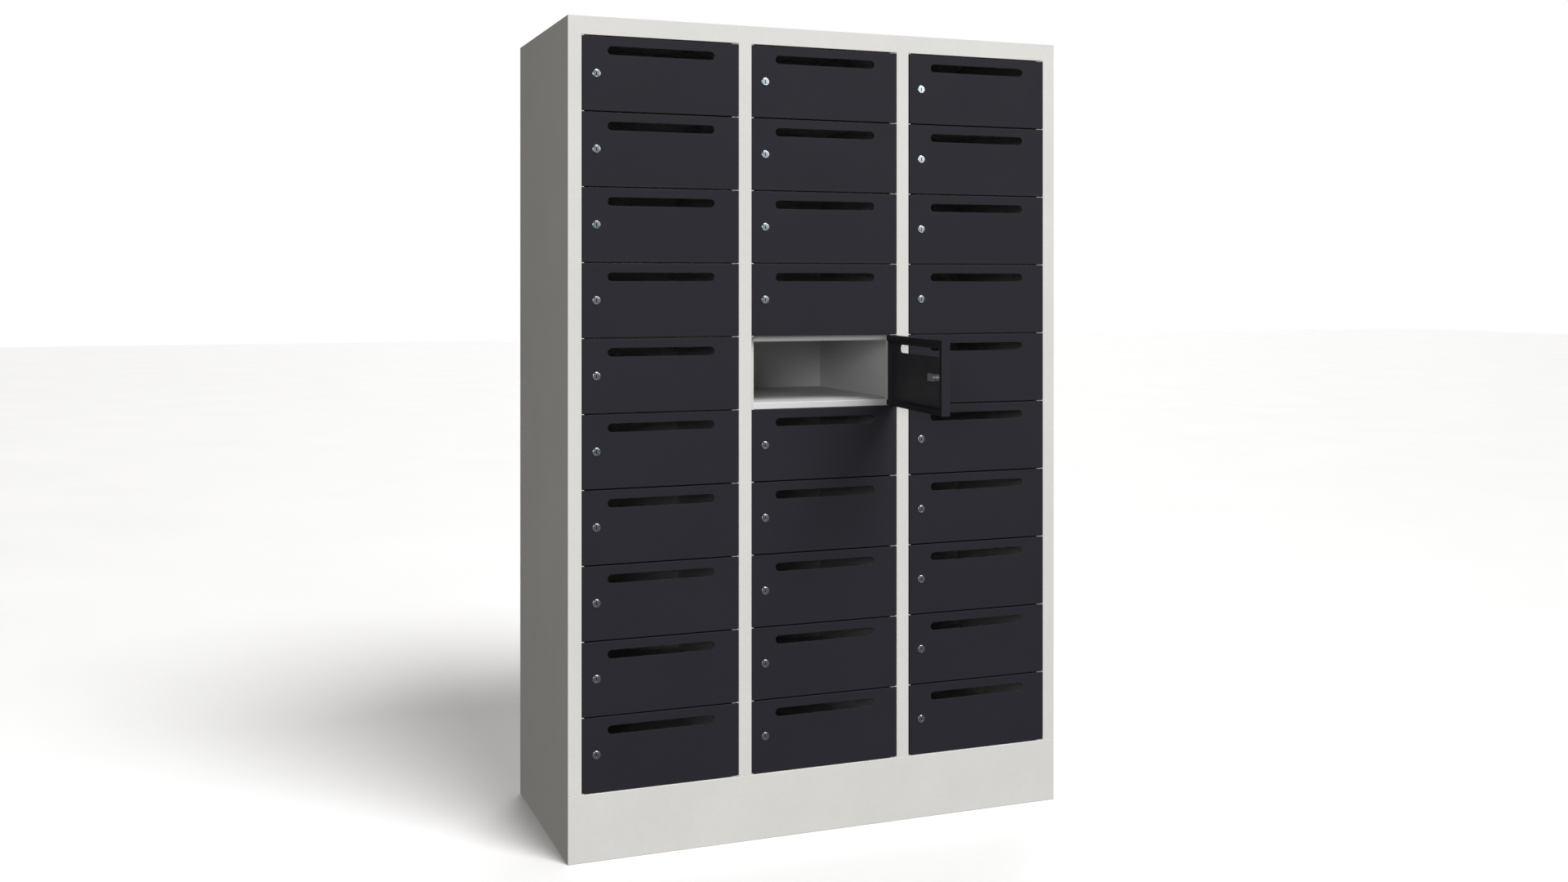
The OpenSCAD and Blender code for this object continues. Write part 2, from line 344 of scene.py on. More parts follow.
def inset(outline, values):
    """Moves each edge of an anticlockwise outline inwards by its value."""
    count = len(outline)
    if not hasattr(values, "__len__"):
        values = [values] * count
    inward = []
    for i in range(count):
        along = (Vector(outline[(i + 1) % count]) - Vector(outline[i])).normalized()
        inward.append((-along.y, along.x))
    moved = []
    for i, (x, y) in enumerate(outline):
        a, b = inward[i - 1], inward[i]
        s, t = values[i - 1], values[i]
        cross = a[0] * b[1] - a[1] * b[0]
        if abs(cross) < 1e-6:
            far = s if abs(s) > abs(t) else t
            moved.append((x + b[0] * far, y + b[1] * far))
        else:
            moved.append((x + (s * b[1] - a[1] * t) / cross, y + (a[0] * t - b[0] * s) / cross))
    return moved


def rectangle(x0, y0, x1, y1):
    return [(x0, y0), (x1, y0), (x1, y1), (x0, y1)]


def finished_mesh(name, work, finishes, thickness=0.0, sharp=38.0, inside=0):
    """Turns the faces into a mesh, thickened inwards if it is a skin, with its shading set.

    inside counts on from a face's own finish to the one on the inside of the sheet.
    """
    mesh = bpy.data.meshes.new(name)
    work.bm.normal_update()
    work.bm.to_mesh(mesh)
    work.bm.free()
    for finish in finishes:
        mesh.materials.append(finish)
    mesh.shade_smooth()
    made = bpy.data.objects.new(name, mesh)
    bpy.context.scene.collection.objects.link(made)
    if thickness:
        walls = made.modifiers.new("Sheet thickness", "SOLIDIFY")
        walls.thickness = thickness * MM
        walls.offset = -1
        walls.use_even_offset = True
        walls.use_quality_normals = True
        walls.material_offset = inside
    corners = made.modifiers.new("Corner shading", "EDGE_SPLIT")
    corners.split_angle = math.radians(sharp)
    evened = made.modifiers.new("Flat shading", "WEIGHTED_NORMAL")
    evened.weight = 100
    bpy.context.view_layer.update()
    final = bpy.data.meshes.new_from_object(made.evaluated_get(bpy.context.evaluated_depsgraph_get()))
    final.name = name + "_mesh"
    bpy.data.objects.remove(made)
    bpy.data.meshes.remove(mesh)
    return final


def put(name, mesh, body, replaces=(), place=None):
    """Places a finished mesh as a piece that rides on a body."""
    piece = bpy.data.objects.new(name, mesh)
    bpy.context.scene.collection.objects.link(piece)
    if place is not None:
        piece.matrix_world = place
    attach(piece, body)
    if replaces:
        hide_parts(*replaces)
    return piece


# ---- Finishes ----


def shader(tree, kind, inputs=None, **settings):
    made = tree.nodes.new(kind)
    for name, value in settings.items():
        setattr(made, name, value)
    for name, value in (inputs or {}).items():
        if isinstance(value, bpy.types.NodeSocket):
            tree.links.new(value, made.inputs[name])
        else:
            made.inputs[name].default_value = value
    return made


def new_finish(name):
    """An empty material with its surface node and a place on the piece that differs from piece to piece."""
    made = bpy.data.materials.new(name)
    made.use_nodes = True
    tree = made.node_tree
    surface = next(node for node in tree.nodes if node.type == "BSDF_PRINCIPLED")
    coordinates = shader(tree, "ShaderNodeTexCoord")
    piece = shader(tree, "ShaderNodeObjectInfo")
    spread = shader(tree, "ShaderNodeVectorMath", {0: (7.3, 3.1, 5.7)}, operation="SCALE")
    tree.links.new(piece.outputs["Random"], spread.inputs["Scale"])
    ends = {0: coordinates.outputs["Object"], 1: spread.outputs[0]}
    moved = shader(tree, "ShaderNodeVectorMath", ends, operation="ADD")
    return made, tree, surface, moved.outputs[0]


def noise(tree, where, scale, detail=3.0, rough=0.55, stretch=None):
    if stretch:
        where = shader(tree, "ShaderNodeMapping", {"Vector": where, "Scale": stretch}).outputs[0]
    return shader(
        tree, "ShaderNodeTexNoise", {"Vector": where, "Scale": scale, "Detail": detail, "Roughness": rough}
    ).outputs["Fac"]


def between(tree, value, low, high, from_low=0.3, from_high=0.7):
    return shader(
        tree,
        "ShaderNodeMapRange",
        {"Value": value, "From Min": from_low, "From Max": from_high, "To Min": low, "To Max": high},
    ).outputs[0]


def blended(tree, factor, first, second, way="MIX"):
    made = shader(tree, "ShaderNodeMix", data_type="RGBA", blend_type=way)
    for index, value in ((0, factor), (6, first), (7, second)):
        if isinstance(value, bpy.types.NodeSocket):
            tree.links.new(value, made.inputs[index])
        else:
            made.inputs[index].default_value = value
    return made.outputs[2]


def powder_coat(name, colour, roughness, peel, mottle, scuff=0.0, gloss=0.4):
    """Stoved powder paint: an orange-peel skin, faint clouding and a few rubbed places."""
    made, tree, surface, where = new_finish(name)
    surface.inputs["Specular IOR Level"].default_value = gloss
    base = (*colour, 1.0)
    paler = (*(min(1.0, c * (1 + mottle) + mottle * 0.004) for c in colour), 1.0)
    deeper = (*(c * (1 - mottle) for c in colour), 1.0)
    clouds = between(tree, noise(tree, where, 5.0, 4.0), 0.0, 0.6)
    flecks = between(tree, noise(tree, where, 85.0, 5.0, 0.65, stretch=(1.0, 0.6, 1.0)), 0.0, 0.4)
    both = shader(tree, "ShaderNodeMath", {0: clouds, 1: flecks}, operation="ADD").outputs[0]
    tone = blended(tree, both, deeper, paler)
    grains = between(tree, noise(tree, where, 900.0, 2.0), 0.0, 0.5, 0.45, 0.75)
    tone = blended(tree, grains, tone, base)
    if scuff:
        marks = noise(tree, where, 26.0, 6.0, 0.7, stretch=(1.0, 1.0, 0.25))
        rubbed = between(tree, marks, 0.0, scuff, 0.66, 0.74)
        tone = blended(tree, rubbed, tone, (0.32, 0.31, 0.30, 1.0))
    tree.links.new(tone, surface.inputs["Base Color"])
    sheen = between(tree, noise(tree, where, 9.0, 5.0), roughness - 0.05, roughness + 0.06)
    tree.links.new(sheen, surface.inputs["Roughness"])
    fine = noise(tree, where, 520.0, 1.5)
    broad = noise(tree, where, 3.2, 1.0)
    skin = shader(tree, "ShaderNodeBump", {"Height": fine, "Strength": peel, "Distance": 0.0006})
    swell = {"Height": broad, "Strength": 0.12, "Distance": 0.0016, "Normal": skin.outputs[0]}
    waves = shader(tree, "ShaderNodeBump", swell)
    tree.links.new(waves.outputs[0], surface.inputs["Normal"])
    return made


def plated(name, colour, roughness, brushed=None, metallic=1.0):
    """Bright plated metal, polished or drawn along one direction."""
    made, tree, surface, where = new_finish(name)
    surface.inputs["Metallic"].default_value = metallic
    dull = (*(c * 0.82 for c in colour), 1.0)
    stains = between(tree, noise(tree, where, 60.0, 4.0), 0.0, 1.0, 0.4, 0.7)
    tree.links.new(blended(tree, stains, (*colour, 1.0), dull), surface.inputs["Base Color"])
    lines = noise(tree, where, 420.0, 3.0, stretch=brushed or (1.0, 1.0, 1.0))
    tree.links.new(between(tree, lines, roughness * 0.75, roughness * 1.4), surface.inputs["Roughness"])
    scratches = shader(tree, "ShaderNodeBump", {"Height": lines, "Strength": 0.12, "Distance": 0.0001})
    tree.links.new(scratches.outputs[0], surface.inputs["Normal"])
    return made


def buffer_rubber(name):
    """Grey silicone with a dusty bloom."""
    made, tree, surface, where = new_finish(name)
    bloom = between(tree, noise(tree, where, 160.0, 4.0), 0.0, 1.0)
    tone = blended(tree, bloom, (0.42, 0.42, 0.41, 1), (0.5, 0.49, 0.475, 1))
    tree.links.new(tone, surface.inputs["Base Color"])
    tree.links.new(between(tree, noise(tree, where, 700.0), 0.6, 0.85), surface.inputs["Roughness"])
    pores = noise(tree, where, 1500.0)
    grain = shader(tree, "ShaderNodeBump", {"Height": pores, "Strength": 0.3, "Distance": 0.0002})
    tree.links.new(grain.outputs[0], surface.inputs["Normal"])
    return made


FINISHES = {}


def finish(name):
    """One of the locker's finishes, made the first time that it is asked for."""
    if name in FINISHES:
        return FINISHES[name]
    colours = bpy.context.scene.locker_colours
    if name == "light powder coat":
        made = powder_coat("Light grey powder coat", colours.carcass, 0.46, 0.10, 0.05, 0.12)
    elif name == "inside powder coat":
        made = powder_coat("Light grey powder coat inside", colours.inside, 0.5, 0.10, 0.03, 0.3)
    elif name == "anthracite powder coat":
        made = powder_coat("Anthracite powder coat", colours.doors, 0.58, 0.10, 0.06, gloss=0.1)
    elif name == "anthracite inside":
        made = powder_coat("Anthracite powder coat inside", colours.doors, 0.5, 0.06, 0.06, gloss=0.5)
    elif name == "chrome":
        made = plated("Chromed lock head", (0.46, 0.52, 0.60), 0.2)
    elif name == "nickel":
        made = plated("Nickelled lock plug", (0.34, 0.38, 0.43), 0.3, (1.0, 1.0, 6.0))
    elif name == "zinc":
        made = plated("Bright zinc", (0.58, 0.59, 0.60), 0.34, (8.0, 1.0, 1.0))
    # near-black finish: painted shade for the inside of the keyway
    elif name == "keyway":
        made = plated("Keyway shadow", (0.05, 0.05, 0.05), 0.6, metallic=0.6)
    else:
        made = buffer_rubber("Grey buffer silicone")
    FINISHES[name] = made
    return made


# ---- Settings that a user would change ----


class LockerSheetSettings(PropertyGroup):
    """How the sheet is folded."""

    bend_radius: FloatProperty(
        name="Bend radius", description="Outer radius of the folds of doors and carcass",
        default=1.2 * MM, min=1.0 * MM, max=2.0 * MM, unit="LENGTH", precision=4)
    slot_roll: FloatProperty(
        name="Slot roll", description="How far the letter slot's edge is rolled in",
        default=0.6 * MM, min=0.2 * MM, max=0.7 * MM, unit="LENGTH", precision=4)


class LockerColourSettings(PropertyGroup):
    """Colours of the paint."""

    carcass: FloatVectorProperty(
        name="Carcass", description="Powder coat of the frame, sides, top and plinth",
        default=(0.665, 0.655, 0.63), min=0, max=1, size=3, subtype="COLOR")
    inside: FloatVectorProperty(
        name="Inside", description="Powder coat of shelves, partitions and back",
        default=(0.66, 0.67, 0.665), min=0, max=1, size=3, subtype="COLOR")
    doors: FloatVectorProperty(
        name="Doors", description="Powder coat of the doors",
        default=(0.0208, 0.0198, 0.0265), min=0, max=1, size=3, subtype="COLOR")


class LockerStageSettings(PropertyGroup):
    """Floor, lights and camera."""

    floor_colour: FloatVectorProperty(
        name="Floor", description="Colour of the floor", default=(0.97, 0.97, 0.97), min=0, max=1, size=3,
        subtype="COLOR")
    key_strength: FloatProperty(
        name="Key light", description="Strength of the broad light from in front, above and to the right",
        default=3.0, min=0, soft_max=10)
    back_strength: FloatProperty(
        name="Back fill", description="Strength of the very soft light from behind",
        default=0.8, min=0, soft_max=5)
    softbox_power: FloatProperty(
        name="Softboxes", description="Power of the large soft lights that the metal reflects",
        default=42.0, min=0, soft_max=1000, unit="POWER")
    room_light: FloatProperty(
        name="Room light", description="Strength of the light from all round",
        default=0.175, min=0, soft_max=2)
    lens: FloatProperty(
        name="Lens", description="Focal length of the camera",
        default=35.75, min=10, max=200, unit="CAMERA")
    camera_height: FloatProperty(
        name="Camera height", description="Height of the camera over the floor",
        default=1.2303, unit="LENGTH")
    camera_turn: FloatProperty(
        name="Camera turn", description="How far the camera looks to the right of straight on",
        default=0.3675, unit="ROTATION")


SETTINGS = {
    "locker_sheet": LockerSheetSettings,
    "locker_colours": LockerColourSettings,
    "locker_stage": LockerStageSettings,
}


# ---- Pieces ----


class LOCKER_OT_front_frame(Operator):
    """Folds the front frame: four uprights and the rail over the doors, with jambs and door stops"""

    bl_idname = "locker.front_frame"
    bl_label = "Front frame"

    def execute(self, context):
        radius = context.scene.locker_sheet.bend_radius / MM
        uprights = [door_x(column) - SIDE_GAP - STILE_W for column in COLUMNS] + [RIGHT - STILE_W]
        gaps = gap_heights()
        rail = 2 * gaps[-1] - span("door_left_01", 2)[HIGH]
        short = radius + SHEET
        jamb = STOP_DEPTH
        top_stop = rail - (gaps[-1] - SHELF_LIP / 2)
        outline, bends, depths, lips = [], [], [], []
        for i, x in enumerate(uprights):
            first, last = i == 0, i == len(uprights) - 1
            outline.append((x, STILE_FOOT))
            depths.append(short if first else jamb)
            bends.append(False)
            lips.append(0)
            outline.append((x + STILE_W, STILE_FOOT))
            depths.append(short if last else jamb)
            bends.append(True)
            lips.append(0 if last else -STOP_W)
            if not last:
                outline += [(x + STILE_W, rail), (uprights[i + 1], rail)]
                depths += [jamb, jamb]
                bends += [True, True]
                lips += [-top_stop, -HINGE_STOP_W]
        outline += [(RIGHT, TOP), (LEFT, TOP)]
        depths += [short, short]
        bends += [True, True]
        lips += [0, 0]
        work = Sheetwork(facing((1, 0, 0), (0, 0, 1), (0, FRONT, 0)))
        work.folded(outline, bends, depths, lips, radius, 0.9)
        mesh = finished_mesh("front_frame", work, [finish("light powder coat")], SHEET)
        put("front_frame_folded", mesh, "cabinet", ["front_frame"])
        return {"FINISHED"}


class LOCKER_OT_carcass(Operator):
    """Folds the side panels and the top"""

    bl_idname = "locker.carcass"
    bl_label = "Sides, top and back"

    def execute(self, context):
        radius = context.scene.locker_sheet.bend_radius / MM
        short = radius + SHEET
        light = finish("light powder coat")
        start = FRONT + short
        for side, view, x in (("left", FROM_LEFT, LEFT), ("right", FROM_RIGHT, RIGHT)):
            node = "side_panel_" + side
            view = view.copy()
            view.translation = Vector((x, 0, 0))
            low_z, high_z = 0.0, TOP - short
            ends = (-BACK, -start) if side == "left" else (start, BACK)
            work = Sheetwork(view)
            work.plate(rectangle(ends[0], low_z, ends[1], high_z), 0, SHEET, 0.25)
            inner = span("back_panel", 1)[LOW]
            ends = (-inner, SHEET - inner) if side == "left" else (inner - SHEET, inner)
            flange = span(node, 0)[HIGH] - span(node, 0)[LOW]
            work.plate(rectangle(ends[0], span("back_panel", 2)[LOW], ends[1], high_z), SHEET, flange, 0.25)
            mesh = finished_mesh(node, work, [light])
            put(node + "_sheet", mesh, "cabinet", [node])
        work = Sheetwork(facing((1, 0, 0), (0, 1, 0), (0, 0, TOP)))
        outline = rectangle(LEFT, start, RIGHT, BACK)
        work.folded(outline, [False, True, True, True], [short] * 4, None, radius)
        mesh = finished_mesh("top_panel", work, [light], SHEET)
        put("top_panel_folded", mesh, "cabinet", ["top_panel"])
        work = Sheetwork(facing((1, 0, 0), (0, 1, 0), (0, 0, TOP)))
        drop = TOP - span("top_panel", 2)[LOW]
        for end in (1, -1):
            x = sorted((end * (RIGHT - SHEET), end * (RIGHT - 2 * SHEET)))
            work.plate(rectangle(x[0], SHELF_FRONT, x[1], BACK - 3), SHEET + 0.05, drop, 0.2)
        mesh = finished_mesh("top_panel_flanges", work, [light])
        put("top_panel_flanges", mesh, "cabinet", [])
        return {"FINISHED"}


class LOCKER_OT_inside(Operator):
    """Folds the shelves and the base and finishes the partitions and the back"""

    bl_idname = "locker.inside"
    bl_label = "Shelves, base, partitions and back"

    def execute(self, context):
        paint = finish("inside powder coat")
        for name in ("partition_left", "partition_right", "back_panel"):
            node = frame["nodes"][name]
            node.data.materials.clear()
            node.data.materials.append(paint)
            joined = node.modifiers.new("Join faces", "WELD")
            joined.merge_threshold = 1e-6
            flat = node.modifiers.new("Flat faces", "DECIMATE")
            flat.decimate_type = "DISSOLVE"
            flat.angle_limit = math.radians(2)
            eased = node.modifiers.new("Eased edges", "BEVEL")
            eased.width = 0.15 * MM
            eased.segments = 2
            eased.limit_method = "ANGLE"
            eased.harden_normals = True
        middles = [sum(span(name, 0)) / 2 for name in ("partition_left", "partition_right")]
        walls = [LEFT + SHEET, *middles, RIGHT - SHEET]
        half = SHEET / 2
        back = span("base_panel", 1)[HIGH]
        gaps = gap_heights()
        for i, column in enumerate(COLUMNS):
            node = "shelves_" + column
            x0 = walls[i] + (half if i > 0 else 0)
            x1 = walls[i + 1] - (half if i < 2 else 0)
            work = Sheetwork()
            for z in gaps[1:-1]:
                work.view = facing((1, 0, 0), (0, 1, 0), (0, 0, z + SHELF_LIP / 2))
                relief = SHELF_FRONT + CORNER_RELIEF
                outline = [(x0, SHELF_FRONT), (x1, SHELF_FRONT), (x1, relief),
                           (x1, back), (x0, back), (x0, relief)]
                depths = [SHELF_LIP] * 2 + [SHELF_FLANGE] * 4
                work.folded(outline, [True] * 6, depths, [LIP_RETURN] + [0] * 5, INNER_BEND, 1.0)
            mesh = finished_mesh(node, work, [paint], SHEET)
            put(node + "_folded", mesh, "cabinet", [node])
        low_x, high_x = span("base_panel", 0)
        work = Sheetwork(facing((1, 0, 0), (0, 1, 0), (0, 0, span("base_panel", 2)[HIGH])))
        outline = rectangle(low_x, SHELF_FRONT, high_x, back)
        depths = [SHELF_LIP, SHELF_LIP, SHELF_FLANGE, SHELF_FLANGE]
        work.folded(outline, [True, False, True, False], depths, [LIP_RETURN, 0, 0, 0], INNER_BEND, 1.0)
        mesh = finished_mesh("base_panel", work, [paint], SHEET)
        put("base_panel_folded", mesh, "cabinet", ["base_panel"])
        return {"FINISHED"}


class LOCKER_OT_plinth(Operator):
    """Folds the plinth front with its lower door stops, the rear channel and the stretcher"""

    bl_idname = "locker.plinth"
    bl_label = "Plinth"

    def execute(self, context):
        radius = context.scene.locker_sheet.bend_radius / MM
        short = radius + SHEET
        light = finish("light powder coat")
        foot = span("plinth_front", 1)[HIGH] - FRONT
        high = STILE_FOOT - SEAM
        x0, x1 = span("plinth_front", 0)
        relief = CORNER_RELIEF
        work = Sheetwork(facing((1, 0, 0), (0, 0, 1), (0, FRONT, 0)))
        outline = [(x0, 0), (x0 + relief, 0), (x1 - relief, 0), (x1, 0),
                   (x1, high), (x1 - relief, high), (x0 + relief, high), (x0, high)]
        deep = SHELF_FRONT - FRONT
        work.folded(outline, [True] * 8, [short, foot, foot, short, short, deep, deep, short], None, radius)
        skin = finished_mesh("plinth_front", work, [light], SHEET)
        put("plinth_front_folded", skin, "cabinet", ["plinth_front"])
        work = Sheetwork(facing((1, 0, 0), (0, 0, 1), (0, FRONT, 0)))
        for column in COLUMNS:
            x0 = door_x(column) - SIDE_GAP + STOP_W + STOP_PLAY
            x1 = door_x(column) + DOOR_W + SIDE_GAP - HINGE_STOP_W - STOP_PLAY
            z1 = span("plinth_front", 2)[HIGH]
            work.plate(rectangle(x0, high - SHEET, x1, z1), STOP_DEPTH, STOP_DEPTH + SHEET - 0.02, 0.15)
        mesh = finished_mesh("lower_door_stops", work, [light])
        put("lower_door_stops", mesh, "cabinet", [])
        low, high_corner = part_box("plinth_rear")
        low, high_corner = low / MM, high_corner / MM
        work = Sheetwork(facing((-1, 0, 0), (0, 0, 1), (0, high_corner.y, 0)))
        outline = rectangle(low.x, 0, high_corner.x, high_corner.z)
        depth = high_corner.y - low.y
        depths = [depth, depth, REAR_FLANGE, REAR_FLANGE]
        work.folded(outline, [True, False, True, False], depths, None, INNER_BEND)
        mesh = finished_mesh("plinth_rear", work, [finish("inside powder coat")], SHEET)
        put("plinth_rear_folded", mesh, "cabinet", ["plinth_rear"])
        low, high_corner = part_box("plinth_stretcher")
        low, high_corner = low / MM, high_corner / MM
        work = Sheetwork(facing((-1, 0, 0), (0, 1, 0), (0, 0, 0)))
        outline = rectangle(low.x, low.y, high_corner.x, high_corner.y)
        work.folded(outline, [False, True, False, True], [high_corner.z] * 4, None, INNER_BEND)
        mesh = finished_mesh("plinth_stretcher", work, [finish("inside powder coat")], SHEET)
        put("plinth_stretcher_folded", mesh, "cabinet", ["plinth_stretcher"])
        return {"FINISHED"}


class LOCKER_OT_hinges(Operator):
    """Makes the hinge lugs in the gaps between doors and the pins through them"""

    bl_idname = "locker.hinges"
    bl_label = "Hinge lugs and pins"

    def execute(self, context):
        gaps = gap_heights()
        near, far = span("hinge_lugs", 1)
        lugs, pins = Sheetwork(), Sheetwork()
        for column in COLUMNS:
            pivot = joints["hinge_%s_01" % column]["pos_m"]
            px, py = pivot[0] / MM, pivot[1] / MM
            edge = door_x(column) + DOOR_W + SIDE_GAP
            left = door_x(column) - SIDE_GAP
            for i, z in enumerate(gaps):
                lugs.view = facing((1, 0, 0), (0, 1, 0), (0, 0, z + LUG_T / 2))
                step = near + LUG_STEP
                tab = [(px - LUG_REACH, step), (edge - LUG_ROOT - LUG_STEP, step), (edge - LUG_ROOT, near),
                       (edge, near), (edge, far), (px - LUG_REACH, far)]
                hole = circle(PIN_R + PIN_PLAY, 20, (px, py))
                lugs.plate(rounded(tab, [3.5, 1.0, 1.0, 0, 0, 4.5]), 0, LUG_T, 0.25, [hole])
                tab = [(left, near), (left + LUG_REACH, near), (left + LUG_REACH, far), (left, far)]
                lugs.plate(rounded(tab, [0, 2.0, 3.0, 0]), 0, LUG_T, 0.25)
                low = z - (LUG_T / 2 if i == 0 else PIN_REACH)
                high = z + (LUG_T / 2 if i == len(gaps) - 1 else PIN_REACH)
                pins.view = facing((1, 0, 0), (0, 1, 0), (px, py, high))
                length = high - low
                profile = [(0.9, 0), (1.5, 0.12), (1.85, 0.4), (PIN_R, 0.8)]
                profile += [(r, length - d) for r, d in reversed(profile)]
                pins.turned(profile, 20)
        mesh = finished_mesh("hinge_lugs", lugs, [finish("light powder coat")])
        put("hinge_lugs_pressed", mesh, "cabinet", ["hinge_lugs"])
        mesh = finished_mesh("hinge_pins", pins, [finish("zinc")])
        put("hinge_pins_turned", mesh, "cabinet", ["hinge_pins"])
        return {"FINISHED"}


class LOCKER_OT_fixings(Operator):
    """Makes the stop buffers behind the doors and the rivets down the back"""

    bl_idname = "locker.fixings"
    bl_label = "Buffers and rivets"

    def execute(self, context):
        near = span("door_buffers", 1)[LOW]
        thick = SHELF_FRONT - SHEET - near
        from_edge = span("door_buffers", 0)[LOW] + BUFFER_R - door_x("left")
        from_end = span("door_buffers", 2)[LOW] + BUFFER_R - door_z("left", 10)
        profile = [(0.6, 0), (1.3, 0.03), (1.8, 0.1), (2.15, 0.25), (2.35, 0.5), (BUFFER_R, thick)]
        buffers = Sheetwork()
        for column in COLUMNS:
            for row in ROWS:
                for z in (from_end, DOOR_H - from_end):
                    place = (door_x(column) + from_edge, near, door_z(column, row) + z)
                    buffers.view = facing((1, 0, 0), (0, 0, 1), place)
                    buffers.turned(profile, 24)
        mesh = finished_mesh("door_buffers", buffers, [finish("rubber")], sharp=60)
        put("door_buffers_moulded", mesh, "cabinet", ["door_buffers"])
        rivets = Sheetwork()
        low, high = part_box("back_rivets")
        low, high = low / MM, high / MM
        head = RIVET_R
        profile = [(0.7, 0.45), (0.95, 0.1), (1.3, 0.0), (2.0, 0.12), (2.8, 0.45), (3.25, 0.85), (head, 1.2)]
        for x in (low.x + head, high.x - head):
            for k in range(RIVETS):
                z = low.z + head + (high.z - low.z - 2 * head) * k / (RIVETS - 1)
                rivets.view = facing((-1, 0, 0), (0, 0, 1), (x, high.y, z))
                rivets.turned(profile, 24)
        mesh = finished_mesh("back_rivets", rivets, [finish("zinc")], sharp=60)
        put("back_rivets_set", mesh, "cabinet", ["back_rivets"])
        return {"FINISHED"}


class LOCKER_OT_doors(Operator):
    """Folds one door pan with its letter slot and hangs thirty of them"""

    bl_idname = "locker.doors"
    bl_label = "Doors"

    def execute(self, context):
        settings = context.scene.locker_sheet
        radius = settings.bend_radius / MM
        roll = settings.slot_roll / MM
        notch = DOOR_W - HINGE_NOTCH
        outline = [(0, 0), (notch, 0), (notch + SHEET, 0), (DOOR_W, 0),
                   (DOOR_W, DOOR_H), (notch + SHEET, DOOR_H), (notch, DOOR_H), (0, DOOR_H)]
        depths = [DOOR_T] * 2 + [HINGE_FLANGE] * 4 + [DOOR_T] * 2
        lips = [DOOR_LIP] + [0] * 5 + [DOOR_LIP] * 2
        work = Sheetwork()
        middle = (DOOR_W / 2, DOOR_H - SLOT_DROP - SLOT_H / 2)
        steps = 3
        slot_rings = []
        for k in range(steps + 1):
            turn = math.pi / 2 * k / steps
            wider = 2 * roll * (1 - math.sin(turn))
            edge = stadium(SLOT_L + wider, SLOT_H + wider, middle)
            slot_rings.append(work.ring(edge, roll * (1 - math.cos(turn))))
        for near, far in zip(slot_rings, slot_rings[1:]):
            work.wall(near, far, hole=True)
        lock_hole = work.ring(circle(BARREL_R + BARREL_PLAY, 32, (LOCK_IN, DOOR_H / 2)), 0)
        work.folded(outline, [True] * 8, depths, lips, radius, 1.2, [slot_rings[0], lock_hole])
        paints = [finish("anthracite powder coat"), finish("anthracite inside")]
        mesh = finished_mesh("door_pan", work, paints, SHEET, inside=1)
        for column in COLUMNS:
            for row in ROWS:
                node = "door_%s_%02d" % (column, row)
                put(node + "_pan", mesh, node, [node], door_place(column, row))
        return {"FINISHED"}


